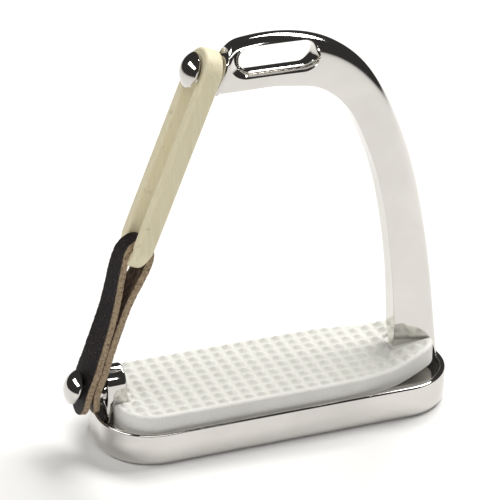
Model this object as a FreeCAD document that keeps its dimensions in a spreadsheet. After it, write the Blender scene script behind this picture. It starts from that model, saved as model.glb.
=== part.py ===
"""Safety stirrup iron: a cast frame, two button studs, a rubber tread pad, a rubber ring and a leather tab.

All sizes are millimetres. The origin is the centre of the tread's underside, +Z is up, +X points to the
arm and +Y to the back.
"""
import FreeCAD, Part
import math
import os
import Sketcher
from FreeCAD import Vector

DRIVING_SIZES = {
    # the cast tread
    "tread_length": 144.0,
    "tread_width": 50.6,
    "tread_corner": 22.0,
    "tread_height": 14.0,
    "wall": 2.2,
    "floor_top": 12.5,
    "floor_depth": 6.5,
    "foot_round": 2.0,
    "bar_width": 9.0,
    "window_length": 46.0,
    "window_width": 29.0,
    "window_corner": 9.0,
    "skirt": 4.2,
    "pad_seat": 1.6,
    # the arch: arm and crown
    "root_inset": 0.6,
    "crown_shoulder": 5.5,
    "arch_height": 160.0,
    "crown_depth": 19.8,
    "arm_width": 15.2,
    "root_width": 19.0,
    "crown_thick": 11.0,
    "arm_thick": 10.2,
    "root_thick": 12.8,
    "eye_length": 30.2,
    "eye_height": 9.4,
    "eye_centre": 1.4,
    "eye_below_top": 8.7,
    "eye_flare": 2.0,
    # the lug that carries the lower stud
    "lug_top": 33.0,
    "lug_width": 14.0,
    "lug_inset": 3.6,
    "lug_length": 8.2,
    # the two studs
    "stud_neck": 8.0,
    "stud_head": 13.4,
    "stud_dome": 4.2,
    "stud_root": 5.0,
    "stud_spigot": 5.0,
    "upper_neck_length": 9.4,
    "lower_neck_length": 11.3,
    "stud_height": 22.1,
    "tab_seat": 6.5,
    # the rubber ring
    "ring_tilt": 22.0,
    "ring_hook_height": "=arch_height - 12.4",
    "ring_hook_out": 27.3,
    "ring_straight": 69.0,
    "ring_bore": "=stud_neck + 0.8",
    "ring_thick": 5.0,
    "ring_width": 7.2,
    # the leather tab
    "leather": 2.7,
    "tab_neck": 7.6,
    "tab_eye": 17.4,
    "tab_loop": 4.0,
    "tab_end_height": 15.2,
    "soft_gap": 0.3,
    # the rubber tread pad
    "pad_top": 20.5,
    "pad_width": 45.4,
    "pad_left": 65.6,
    "pad_right": 66.4,
    "pad_corner": 15.0,
    "pad_sweep": 36.0,
    "pad_shoulder": 9.0,
    "pad_gap": 0.4,
    "pad_round": 1.2,
    "plug_depth": 5.0,
}

doc = FreeCAD.newDocument("stirrup_iron")
sheet = doc.addObject("Spreadsheet::Sheet", "size")
for row, (word, value) in enumerate(DRIVING_SIZES.items(), start=1):
    sheet.set(f"A{row}", word)
    sheet.set(f"B{row}", str(value))
    sheet.setAlias(f"B{row}", word)
doc.recompute()


def size(word):
    """The value of one cell of the sheet."""
    return float(sheet.get(word))


def new_body(label):
    """A PartDesign body whose label is the node's name."""
    body = doc.addObject("PartDesign::Body", label)
    body.Label = label
    return body


def new_sketch(body, role, name, lift=None):
    """A sketch on one of the body's origin planes, lifted along the plane's normal by an expression."""
    sketch = body.newObject("Sketcher::SketchObject", name)
    plane = [feature for feature in body.Origin.OriginFeatures if feature.Role == role][0]
    sketch.AttachmentSupport = (plane, "")
    sketch.MapMode = "FlatFace"
    if lift:
        sketch.setExpression("AttachmentOffset.Base.z", lift)
    return sketch


def bind(sketch, constraint, name, expression):
    """Adds a named dimension and binds it to the sheet."""
    index = sketch.addConstraint(constraint)
    sketch.renameConstraint(index, name)
    sketch.setExpression(f"Constraints.{name}", expression)


def rounded_box(sketch, tag, left, right, bottom, top, corner):
    """A rectangle with round corners. Each side's place and the corner radius are expressions."""
    x0, x1, y0, y1, r = (evaluate(text) for text in (left, right, bottom, top, corner))
    corners = [(x1 - r, y1 - r, 0), (x0 + r, y1 - r, 90), (x0 + r, y0 + r, 180), (x1 - r, y0 + r, 270)]
    arcs = []
    for cx, cy, start in corners:
        circle = Part.Circle(Vector(cx, cy, 0), Vector(0, 0, 1), r)
        arc = Part.ArcOfCircle(circle, math.radians(start), math.radians(start + 90))
        arcs.append(sketch.addGeometry(arc, False))
    sides = []
    for k in range(4):
        ends = [sketch.getPoint(arcs[k], 2), sketch.getPoint(arcs[(k + 1) % 4], 1)]
        sides.append(sketch.addGeometry(Part.LineSegment(*ends), False))
    for k in range(4):
        sketch.addConstraint(Sketcher.Constraint("Tangent", arcs[k], 2, sides[k], 1))
        sketch.addConstraint(Sketcher.Constraint("Tangent", sides[k], 2, arcs[(k + 1) % 4], 1))
        sketch.addConstraint(Sketcher.Constraint("Vertical" if k % 2 else "Horizontal", sides[k]))
    for k in range(1, 4):
        sketch.addConstraint(Sketcher.Constraint("Equal", arcs[0], arcs[k]))
    bind(sketch, Sketcher.Constraint("Radius", arcs[0], r), f"{tag}_corner", corner)
    bind(sketch, Sketcher.Constraint("DistanceY", -1, 1, sides[0], 1, y1), f"{tag}_top", top)
    bind(sketch, Sketcher.Constraint("DistanceX", -1, 1, sides[1], 1, x0), f"{tag}_left", left)
    bind(sketch, Sketcher.Constraint("DistanceY", -1, 1, sides[2], 1, y0), f"{tag}_bottom", bottom)
    bind(sketch, Sketcher.Constraint("DistanceX", -1, 1, sides[3], 1, x1), f"{tag}_right", right)


def slot(sketch, tag, start, end, level, radius):
    """A slot with half-round ends, lying along the sketch's X. Ends, level and radius are expressions."""
    x0, x1, y, r = (evaluate(text) for text in (start, end, level, radius))
    arcs = []
    for x, turn in ((x0, 90), (x1, -90)):
        circle = Part.Circle(Vector(x, y, 0), Vector(0, 0, 1), r)
        arcs.append(sketch.addGeometry(
            Part.ArcOfCircle(circle, math.radians(turn), math.radians(turn + 180)), False))
    low = sketch.addGeometry(Part.LineSegment(Vector(x0, y - r, 0), Vector(x1, y - r, 0)), False)
    high = sketch.addGeometry(Part.LineSegment(Vector(x1, y + r, 0), Vector(x0, y + r, 0)), False)
    for one, one_end, other in ((arcs[0], 2, low), (low, 2, arcs[1]), (arcs[1], 2, high), (high, 2, arcs[0])):
        sketch.addConstraint(Sketcher.Constraint("Tangent", one, one_end, other, 1))
    sketch.addConstraint(Sketcher.Constraint("Horizontal", low))
    bind(sketch, Sketcher.Constraint("Radius", arcs[0], r), f"{tag}_radius", radius)
    bind(sketch, Sketcher.Constraint("DistanceX", -1, 1, arcs[0], 3, x0), f"{tag}_start", start)
    bind(sketch, Sketcher.Constraint("DistanceX", -1, 1, arcs[1], 3, x1), f"{tag}_end", end)
    bind(sketch, Sketcher.Constraint("DistanceY", -1, 1, arcs[0], 3, y), f"{tag}_level", level)


def evaluate(expression):
    """The number that a sheet expression gives now."""
    return float(sheet.evalExpression(expression.replace("size.", "")))


def outline(sketch, edges):
    """Adds a closed run of edges, each a list of points: two make a line, three an arc, more a spline."""
    ids = []
    for points in edges:
        flat = [Vector(x, y, 0) for x, y in points]
        if len(flat) == 2:
            curve = Part.LineSegment(*flat)
        elif len(flat) == 3:
            curve = Part.Arc(*flat)
        else:
            curve = Part.BSplineCurve()
            curve.interpolate(flat)
        ids.append(sketch.addGeometry(curve, False))
    return ids


def pad(body, sketch, name, length, both_ways=False, backwards=False):
    """A Pad whose length is an expression."""
    feature = body.newObject("PartDesign::Pad", name)
    feature.Profile = sketch
    feature.Midplane = both_ways
    feature.Reversed = backwards
    feature.setExpression("Length", length)
    return feature


def pocket(body, sketch, name, depth=None, both_ways=False, backwards=False):
    """A Pocket, through everything unless a depth expression is given. It has to take material away."""
    doc.recompute()
    before = body.Shape.Volume
    feature = body.newObject("PartDesign::Pocket", name)
    feature.Profile = sketch
    feature.Midplane = both_ways
    feature.Reversed = backwards
    if depth:
        feature.setExpression("Length", depth)
    else:
        feature.Type = "ThroughAll"
    doc.recompute()
    if body.Shape.Volume >= before:
        raise RuntimeError(f"{name} takes nothing away")
    return feature


def round_edges(body, name, radius, chosen, kind="Fillet"):
    """A Fillet or Chamfer on the edges of the body's tip that the test picks."""
    doc.recompute()
    tip = body.Tip
    names = [f"Edge{i}" for i, edge in enumerate(tip.Shape.Edges, start=1) if chosen(edge)]
    feature = body.newObject(f"PartDesign::{kind}", name)
    feature.Base = (tip, names)
    feature.setExpression("Radius" if kind == "Fillet" else "Size", radius)
    doc.recompute()
    if not names or "Invalid" in feature.State:
        raise RuntimeError(f"{name} failed on {len(names)} edges")
    return feature


# ---------------------------------------------------------------- places worked out from the sheet
TILT = math.radians(size("ring_tilt"))
RING_DOWN = Vector(-math.sin(TILT), 0, -math.cos(TILT))
RING_OUT = Vector(-math.cos(TILT), 0, math.sin(TILT))
HOOK = Vector(-size("ring_hook_out"), 0, size("ring_hook_height"))
RING_BORE_R = size("ring_bore") / 2
RING_OUTER_R = RING_BORE_R + size("ring_thick")
# the ring hangs on the stud by the top of its bore
RING_TOP = HOOK + RING_DOWN * (RING_BORE_R - size("stud_neck") / 2 - size("soft_gap") / 2)
RING_FOOT = RING_TOP + RING_DOWN * (size("ring_straight") + RING_BORE_R + size("ring_thick") / 2)
UPPER_FACE = HOOK - RING_OUT * (size("upper_neck_length") / 2)
LUG_FACE = Vector(-size("tread_length") / 2 + size("lug_inset"), 0, size("stud_height"))
LOWER_NECK = LUG_FACE + RING_OUT * size("tab_seat")


def arch_centreline():
    """Points along the middle of the arch, crown end first, as (x, z, width, share of the way to root)."""
    top = size("arch_height") - size("crown_depth") / 2
    foot = size("tread_length") / 2 - size("root_width") / 2 - size("root_inset")
    low = size("floor_top") - 3
    rise = top - low
    # share of the reach from the crown's middle to the foot, share of the rise, and width between
    # the crown's depth (0), the arm's width (1) and the root's width (2)
    law = [(0.0, 1.0, 0.0), (0.135, 0.993, 0.0), (0.295, 0.974, 0.3), (0.45, 0.93, 0.6),
           (0.575, 0.865, 0.9), (0.68, 0.775, 1.0), (0.782, 0.655, 1.0), (0.874, 0.485, 1.15),
           (0.936, 0.305, 1.45), (0.97, 0.145, 1.75), (1.0, 0.0, 2.0)]
    widths = (size("crown_depth"), size("arm_width"), size("root_width"))
    points = []
    for reach, height, step in law:
        low_step = min(int(step), 1)
        width = widths[low_step] + (widths[low_step + 1] - widths[low_step]) * (step - low_step)
        points.append((foot * reach, low + rise * height, width))
    return points


def arch_sides():
    """The outer and inner outlines of the arch: the centreline set off by half its width each way."""
    middle = arch_centreline()
    outer, inner = [], []
    for k, (x, z, width) in enumerate(middle):
        before = middle[max(k - 1, 0)]
        after = middle[min(k + 1, len(middle) - 1)]
        along = Vector(after[0] - before[0], 0, after[1] - before[1]).normalize()
        if k == 0:
            along = Vector(1, 0, 0)
        outer.append((x - along.z * width / 2, z + along.x * width / 2))
        inner.append((x + along.z * width / 2, z - along.x * width / 2))
    return outer, inner


def build_frame():
    """The one-piece casting: tread, lug, arm and crown."""
    body = new_body("stirrup_frame")
    tread = new_sketch(body, "XY_Plane", "tread_outline")
    rounded_box(tread, "tread", "-size.tread_length / 2", "size.tread_length / 2",
                "-size.tread_width / 2", "size.tread_width / 2", "size.tread_corner")
    pad(body, tread, "tread_block", "size.tread_height")
    round_edges(body, "tread_foot", "size.foot_round", lambda e: e.BoundBox.ZMax < 0.01)

    recess = new_sketch(body, "XY_Plane", "recess_outline", "size.tread_height")
    rounded_box(recess, "recess", "-size.tread_length / 2 + size.wall", "size.tread_length / 2 - size.wall",
                "-size.tread_width / 2 + size.wall", "size.tread_width / 2 - size.wall",
                "size.tread_corner - size.wall")
    pocket(body, recess, "tread_recess", "size.tread_height - size.floor_top")

    hollow = new_sketch(body, "XY_Plane", "hollow_outline")
    rounded_box(hollow, "hollow", "-size.tread_length / 2 + size.skirt", "size.tread_length / 2 - size.skirt",
                "-size.tread_width / 2 + size.skirt", "size.tread_width / 2 - size.skirt",
                "size.tread_corner - size.skirt")
    pocket(body, hollow, "tread_hollow", "size.floor_depth", backwards=True)
    bar = new_sketch(body, "XY_Plane", "bar_outline")
    rounded_box(bar, "bar", "-size.bar_width / 2", "size.bar_width / 2",
                "-size.tread_width / 2 + size.skirt - 0.5", "size.tread_width / 2 - size.skirt + 0.5", "0.3")
    pad(body, bar, "tread_bar", "size.floor_depth + 0.5")

    window = new_sketch(body, "XY_Plane", "window_outline")
    near, far = "size.bar_width / 2", "(size.bar_width / 2 + size.window_length)"
    for side, ends in (("left", (f"-{far}", f"-{near}")), ("right", (near, far))):
        rounded_box(window, f"window_{side}", *ends, "-size.window_width / 2", "size.window_width / 2",
                    "size.window_corner")
    pocket(body, window, "tread_windows", both_ways=True)

    arch = new_sketch(body, "XZ_Plane", "arch_outline")
    outer, inner = arch_sides()
    end_top, end_low = crown_end_face(outer[0][1], inner[0][1])
    crown_top, crown_low = outer[0][1], inner[0][1]
    outer = [end_top, (end_top[0] + 2.6, crown_top - 2.4), (end_top[0] + 8.0, crown_top - 0.6)] + outer
    inner = [end_low, (end_low[0] / 2, crown_low)] + inner
    outline(arch, [outer, [outer[-1], inner[-1]], inner[::-1], [end_low, end_top]])
    pad(body, arch, "arch_block", "size.root_thick", both_ways=True)

    for name, side in (("front", -1), ("back", 1)):
        flank = new_sketch(body, "YZ_Plane", f"arch_flank_{name}")
        outline(flank, flank_cut(side))
        pocket(body, flank, f"arch_taper_{name}", both_ways=True)

    lug = new_sketch(body, "YZ_Plane", "lug_outline", "-size.tread_length / 2 + size.lug_inset")
    half = size("lug_width") / 2
    spring = size("lug_top") - half
    low = size("floor_top") - 2
    outline(lug, [[(-half, low), (half, low)], [(half, low), (half, spring)],
                  [(half, spring), (0, size("lug_top")), (-half, spring)], [(-half, spring), (-half, low)]])
    pad(body, lug, "lug", "size.lug_length")

    eye = new_sketch(body, "XZ_Plane", "eye_outline")
    middle = "(size.arch_height - size.eye_below_top)"
    reach = "(size.eye_length / 2 - size.eye_height / 2)"
    slot(eye, "eye", f"size.eye_centre - {reach}", f"size.eye_centre + {reach}", middle,
         "size.eye_height / 2")
    pocket(body, eye, "leather_eye", both_ways=True)
    eye_low = size("arch_height") - size("eye_below_top") - size("eye_height") / 2 - 0.1
    eye_high = eye_low + size("eye_height") + 0.2
    round_edges(body, "eye_flares", "size.eye_flare",
                lambda e: abs(e.CenterOfMass.y) > 3 and e.BoundBox.ZMin > eye_low
                and e.BoundBox.ZMax < eye_high and abs(e.CenterOfMass.x) < size("eye_length") * 0.7, "Chamfer")

    for name, face in (("upper", UPPER_FACE), ("lower", LUG_FACE)):
        hole = new_sketch(body, "XZ_Plane", f"{name}_seat_outline")
        spin_outline(hole, face, [(-size("stud_root"), 0.0, size("stud_spigot") / 2),
                                  (0.0, 3.0, size("stud_neck") / 2)])
        seat = body.newObject("PartDesign::Groove", f"{name}_stud_seat")
        seat.Profile = hole
        seat.ReferenceAxis = (hole, ["Axis0"])
        doc.recompute()
    return body


def spin_outline(sketch, face, steps):
    """A stepped half section beside the stud's axis: each step is (start, end, radius) along it."""
    flat = [(steps[0][0], 0)]
    for start, end, radius in steps:
        flat += [(start, radius), (end, radius)]
    flat.append((steps[-1][1], 0))
    places = [face + RING_OUT * along + RING_DOWN * across for along, across in flat]
    points = [(place.x, place.z) for place in places]
    outline(sketch, [[points[k], points[(k + 1) % len(points)]] for k in range(len(points))])
    sketch.addGeometry(Part.LineSegment(Vector(*points[0], 0), Vector(*points[-1], 0)), True)


def crown_end_face(top, low):
    """The two corners of the crown's end, which stands square to the upper stud."""
    face_low = UPPER_FACE + RING_DOWN * ((UPPER_FACE.z - low) / math.cos(TILT))
    face_top = UPPER_FACE - RING_DOWN * ((top - size("crown_shoulder") - UPPER_FACE.z) / math.cos(TILT))
    return (face_top.x, face_top.z), (face_low.x, face_low.z)


def flank_cut(side):
    """What is cut off one side of the arch: the crown and arm are thinner than the root."""
    root, arm, crown = (size(word) / 2 for word in ("root_thick", "arm_thick", "crown_thick"))
    low, top = size("tread_height"), size("arch_height") + 4
    span = top - low
    law = [(0.0, root * 1.04), (0.1, root * 0.6 + arm * 0.4), (0.22, arm), (0.5, arm), (0.75, arm),
           (0.88, crown), (1.0, crown)]
    face = [(side * half, low + span * share) for share, half in law]
    clear = side * (root + 4)
    return [face, [face[-1], (clear, top)], [(clear, top), (clear, low)], [(clear, low), face[0]]]
    return body


def build_stud(label, face, neck_length):
    """A button stud: a shank in the casting, a neck that stands out of it and a domed head."""
    body = new_body(label)
    sketch = new_sketch(body, "XZ_Plane", f"{label}_half")
    neck, head = size("stud_neck") / 2, size("stud_head") / 2
    spigot, root, reach = size("stud_spigot") / 2, size("stud_root"), size(neck_length)
    rim = 0.9
    apex = reach + size("stud_dome")
    ball = (head ** 2 + (apex - reach - rim) ** 2) / (2 * (apex - reach - rim))
    turn = math.asin(head / ball) / 2
    bulge = (apex - ball + ball * math.cos(turn), ball * math.sin(turn))
    outline(sketch, [[(-root, 0), (-root, spigot)], [(-root, spigot), (0, spigot)], [(0, spigot), (0, neck)],
                     [(0, neck), (reach, neck)], [(reach, neck), (reach, head)],
                     [(reach, head), (reach + rim, head)],
                     [(reach + rim, head), bulge, (apex, 0)], [(apex, 0), (-root, 0)]])
    turned = body.newObject("PartDesign::Revolution", f"{label}_turned")
    turned.Profile = sketch
    turned.ReferenceAxis = (sketch, ["H_Axis"])
    body.Placement = FreeCAD.Placement(face, FreeCAD.Rotation(Vector(1, 0, 0), RING_OUT))
    return body


def build_ring():
    """The rubber ring: an oblong band pulled straight between the upper stud and the leather tab."""
    body = new_body("rubber_ring")
    sketch = new_sketch(body, "XY_Plane", "ring_outline")
    for tag, reach in (("bore", "size.ring_bore / 2"), ("rim", "(size.ring_bore / 2 + size.ring_thick)")):
        slot(sketch, tag, "0", "size.ring_straight", "0", reach)
    pad(body, sketch, "ring_band", "size.ring_width", both_ways=True)
    turn = FreeCAD.Rotation(RING_DOWN, Vector(0, 1, 0), RING_OUT * -1, "XYZ")
    body.Placement = FreeCAD.Placement(RING_TOP, turn)
    return body


def tab_point(share, across):
    """A point of the tab's side view: share of the way from the ring to the lower stud, and across."""
    line = LOWER_NECK - RING_FOOT
    along = Vector(line).normalize()
    point = RING_FOOT + line * share + Vector(along.z, 0, -along.x) * across
    return (point.x, point.z)


def build_tab():
    """The leather tab: a strip folded round the ring's foot, with both ends on the lower stud."""
    body = new_body("leather_tab")
    leather, gap = size("leather"), size("soft_gap")
    span = (LOWER_NECK - RING_FOOT).Length
    loop = size("ring_width") / 2 + gap * 1.7 + leather
    slack = (size("ring_thick") / 2 + gap + size("tab_loop")) / span
    end = size("tab_end_height")
    law = [(-slack * 0.85, loop * 0.97), (0.0, loop), (0.14, loop * 0.82), (0.3, leather * 1.2),
           (0.55, leather), (0.8, leather), (1.0, leather * 1.12)]
    splay = leather * 1.65
    left = [tab_point(share, half) for share, half in law] + [(LOWER_NECK.x - splay, end)]
    right = [tab_point(share, -half) for share, half in law] + [(LOWER_NECK.x + splay * 0.83, end)]
    top = tab_point(-slack - leather / span, 0)
    fork = (LOWER_NECK.x + 0.8, LOWER_NECK.z - size("stud_neck"))
    toes = [(left[-1][0] + leather, end), (right[-1][0] - leather, end)]
    side = new_sketch(body, "XZ_Plane", "tab_side")
    outline(side, [left, [left[-1], toes[0]], [toes[0], fork], [fork, toes[1]], [toes[1], right[-1]],
                   right[::-1], [right[0], top, left[0]]])
    pad(body, side, "tab_block", "size.tab_eye", both_ways=True)

    channel = new_sketch(body, "XZ_Plane", "ring_channel")
    half = size("ring_width") / 2 + gap * 1.7
    low = (size("ring_thick") / 2 + gap * 1.7) / span
    hole = [tab_point(-slack, half * 0.6), tab_point(-slack * 0.8, half), tab_point(low, half),
            tab_point(0.36, 0), tab_point(low, -half), tab_point(-slack * 0.8, -half),
            tab_point(-slack, -half * 0.6)]
    outline(channel, [[hole[k], hole[(k + 1) % len(hole)]] for k in range(len(hole))])
    pocket(body, channel, "tab_channel", both_ways=True)

    flanks = new_sketch(body, "YZ_Plane", "tab_flanks")
    neck, eye = size("tab_neck") / 2, size("tab_eye") / 2
    eye_height = end + eye
    high = top[1] + 4
    for sign in (-1, 1):
        face = [(sign * neck, high), (sign * neck, RING_FOOT.z - 6), (sign * neck * 1.25, eye_height + 24),
                (sign * neck * 1.45, eye_height + 15), (sign * eye * 0.86, eye_height + 6.5)]
        swell = [face[-1], (sign * eye * 0.999, eye_height), (sign * eye * 0.707, eye_height - eye * 0.707)]
        tip = [swell[-1], (sign * eye * 0.383, eye_height - eye * 0.924), (0, end)]
        clear = sign * (eye + 3)
        outline(flanks, [face, swell, tip, [(0, end), (0, end - 3)], [(0, end - 3), (clear, end - 3)],
                         [(clear, end - 3), (clear, high)], [(clear, high), face[0]]])
    pocket(body, flanks, "tab_width", both_ways=True)

    peg = new_sketch(body, "XZ_Plane", "peg_hole_outline")
    spin_outline(peg, LUG_FACE, [(-4.0, size("lower_neck_length") + 6, size("stud_neck") / 2 + gap)])
    hole = body.newObject("PartDesign::Groove", "peg_hole")
    hole.Profile = peg
    hole.ReferenceAxis = (peg, ["Axis0"])
    return body


def build_pad():
    """The rubber tread pad: a plate that drops between the rims, notched for lug and arm, with plugs."""
    body = new_body("tread_pad")
    plate = new_sketch(body, "XY_Plane", "pad_outline", "size.floor_top")
    half, corner, gap = size("pad_width") / 2, size("pad_corner"), size("pad_gap")
    left, right = -size("pad_left"), size("pad_right")
    sweep = right - size("pad_sweep")
    shoulder = size("pad_shoulder")
    lug_end = -size("tread_length") / 2 + size("lug_inset") + size("lug_length") + gap
    lug_half = size("lug_width") / 2 + gap
    arm_half = size("root_thick") / 2 + gap
    arm_start = size("tread_length") / 2 - size("root_inset") - size("root_width") - size("pad_seat") - gap
    bend = ((sweep + right) / 2 + 2.3, half * 0.8)
    edge = []
    for sign in (-1, 1):
        side = [[(left, sign * lug_half), (left, sign * (half - corner))],
                [(left, sign * (half - corner)), (left + corner * 0.293, sign * (half - corner * 0.293)),
                 (left + corner, sign * half)],
                [(left + corner, sign * half), (sweep, sign * half)],
                [(sweep, sign * half), (bend[0], sign * bend[1]), (right, sign * shoulder)],
                [(right, sign * shoulder), (right, sign * arm_half)],
                [(right, sign * arm_half), (arm_start, sign * arm_half)],
                [(left, sign * lug_half), (lug_end, sign * lug_half)]]
        edge += side
    edge += [[(arm_start, -arm_half), (arm_start, arm_half)], [(lug_end, -lug_half), (lug_end, lug_half)]]
    outline(plate, edge)
    pad(body, plate, "pad_plate", "size.pad_top - size.floor_top")
    top = size("pad_top")
    round_edges(body, "pad_edge", "size.pad_round",
                lambda e: e.BoundBox.ZMin > top - 0.01 and abs(e.CenterOfMass.y) > shoulder)

    plugs = new_sketch(body, "XY_Plane", "plug_outline", "size.floor_top")
    near = "(size.bar_width / 2 + size.pad_gap)"
    far = "(size.bar_width / 2 + size.window_length - size.pad_gap)"
    reach = "(size.window_width / 2 - size.pad_gap)"
    rounded_box(plugs, "plug_left", f"-{far}", f"-{near}", f"-{reach}", reach,
                "size.window_corner - size.pad_gap")
    rounded_box(plugs, "plug_right", near, far, f"-{reach}", reach, "size.window_corner - size.pad_gap")
    pad(body, plugs, "pad_plugs", "size.plug_depth", backwards=True)
    return body


def check_and_write(nodes):
    """Stops on any failed object or bad shape, then writes one STEP file a node."""
    doc.recompute()
    for thing in doc.Objects:
        if "Invalid" in thing.State or "Error" in thing.State:
            raise RuntimeError(f"{thing.Label} failed: {thing.State}")
    for node in nodes:
        if node.Shape.isNull() or not node.Shape.isValid() or len(node.Shape.Solids) != 1:
            raise RuntimeError(f"{node.Label} has no single sound solid")
        print(f"{node.Label}: {node.Shape.Volume / 1000:.2f} cm3")
    os.makedirs("parts", exist_ok=True)
    for node in nodes:
        node.Shape.exportStep(os.path.join("parts", f"{node.Label}.step"))


check_and_write([
    build_frame(),
    build_stud("upper_stud", UPPER_FACE, "upper_neck_length"),
    build_stud("lower_stud", LUG_FACE, "lower_neck_length"),
    build_ring(),
    build_tab(),
    build_pad(),
])
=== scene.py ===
"""Safety stirrup iron: polished casting, two button studs, studded rubber pad, rubber ring and leather tab.

Each sub-assembly is a class. Sizes inside the classes are millimetres, and become metres when a mesh is made.
The origin is the middle of the tread's underside, +Z is up, +X points to the arm and +Y to the back.
"""
import logging
import math
from dataclasses import dataclass, field
from enum import Enum

import bpy
import numpy as np
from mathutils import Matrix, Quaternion, Vector


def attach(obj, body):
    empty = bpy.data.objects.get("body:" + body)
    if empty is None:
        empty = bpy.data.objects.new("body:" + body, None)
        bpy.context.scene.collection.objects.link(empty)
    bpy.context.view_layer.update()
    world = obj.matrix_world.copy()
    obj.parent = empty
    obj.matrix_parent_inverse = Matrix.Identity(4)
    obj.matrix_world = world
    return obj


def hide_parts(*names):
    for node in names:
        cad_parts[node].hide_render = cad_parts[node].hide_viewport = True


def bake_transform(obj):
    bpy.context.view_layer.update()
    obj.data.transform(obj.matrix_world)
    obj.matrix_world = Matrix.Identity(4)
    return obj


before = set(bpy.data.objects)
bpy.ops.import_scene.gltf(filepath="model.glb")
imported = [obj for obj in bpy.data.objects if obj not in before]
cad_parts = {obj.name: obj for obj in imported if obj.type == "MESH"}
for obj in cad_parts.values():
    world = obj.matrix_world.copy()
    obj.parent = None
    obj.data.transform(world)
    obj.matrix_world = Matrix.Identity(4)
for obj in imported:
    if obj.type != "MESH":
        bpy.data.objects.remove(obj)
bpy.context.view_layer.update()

LOG = logging.getLogger("stirrup")
METRE = 0.001

# the line that the ring and the tab hang on leans out from the upright by this much
LEAN = math.radians(22.0)
DOWN = np.array([-math.sin(LEAN), 0.0, -math.cos(LEAN)])
OUT = np.array([-math.cos(LEAN), 0.0, math.sin(LEAN)])
BACK = np.array([0.0, 1.0, 0.0])
HOOK = np.array([-27.3, 0.0, 147.6])
UPPER_FACE = HOOK - OUT * 4.7
LUG_FACE = np.array([-68.4, 0.0, 22.1])

QUARTER = math.pi / 2
# points along the straight sides of a rounded rectangle stand about this far apart
SIDE_STEP = 4.0
# edges that turn by more than this many degrees are bevelled
SHARP_EDGE = 50.0


class Slot(Enum):
    """The record's material slots."""

    STEEL = "polished_steel"
    PAD = "white_rubber"
    RING = "cream_rubber"
    LEATHER = "dark_leather"


class Solver(Enum):
    """Blender's two ways to cut one surface out of another."""

    EXACT = "EXACT"
    FAST = "FAST"


class Body(Enum):
    """The moving bodies of the part."""

    FRAME = "frame"
    RING = "ring"
    TAB = "tab"


Finishes = dict[Slot, bpy.types.Material]
Law = tuple[tuple[float, ...], ...]


# ---------------------------------------------------------------- surfaces


def spline(knots: np.ndarray, values: np.ndarray, at: np.ndarray) -> np.ndarray:
    """The natural cubic spline through values at the knots.

    Between two knots the curve is the straight mix of their values plus, for each end, its second
    derivative times (s^3 - s) h^2 / 6. The second derivatives solve the usual tridiagonal system.

    Args:
        knots: Rising parameters, n of them.
        values: An n by d array.
        at: Parameters to read.

    Returns:
        One row of d numbers for each parameter.
    """
    count = len(knots)
    gap = np.diff(knots)[:, None]
    slope = np.diff(values, axis=0) / gap
    system = np.eye(count)
    inner = np.arange(1, count - 1)
    system[inner, inner - 1] = gap[:-1, 0]
    system[inner, inner] = 2 * (gap[:-1, 0] + gap[1:, 0])
    system[inner, inner + 1] = gap[1:, 0]
    right = np.zeros_like(values, dtype=float)
    right[1:-1] = 6 * np.diff(slope, axis=0)
    bend = np.linalg.solve(system, right)
    cell = np.clip(np.searchsorted(knots, at) - 1, 0, count - 2)
    width = gap[cell]
    far = (at[:, None] - knots[cell, None]) / width
    near = 1 - far
    lift = (near ** 3 - near) * bend[cell] + (far ** 3 - far) * bend[cell + 1]
    return near * values[cell] + far * values[cell + 1] + lift * width ** 2 / 6


def chord(points: np.ndarray) -> np.ndarray:
    """The distance walked along a run of points, nought at the first."""
    return np.concatenate([[0.0], np.cumsum(np.linalg.norm(np.diff(points, axis=0), axis=1))])


def smooth_step(value: np.ndarray) -> np.ndarray:
    """Rises from 0 to 1 as 3 s^2 - 2 s^3, held outside that."""
    share = np.clip(value, 0.0, 1.0)
    return share * share * (3 - 2 * share)


def eased(count: int) -> np.ndarray:
    """Shares from 0 to 1 that crowd at both ends, as half of 1 - cos."""
    return (1 - np.cos(np.linspace(0, math.pi, count))) / 2


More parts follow.
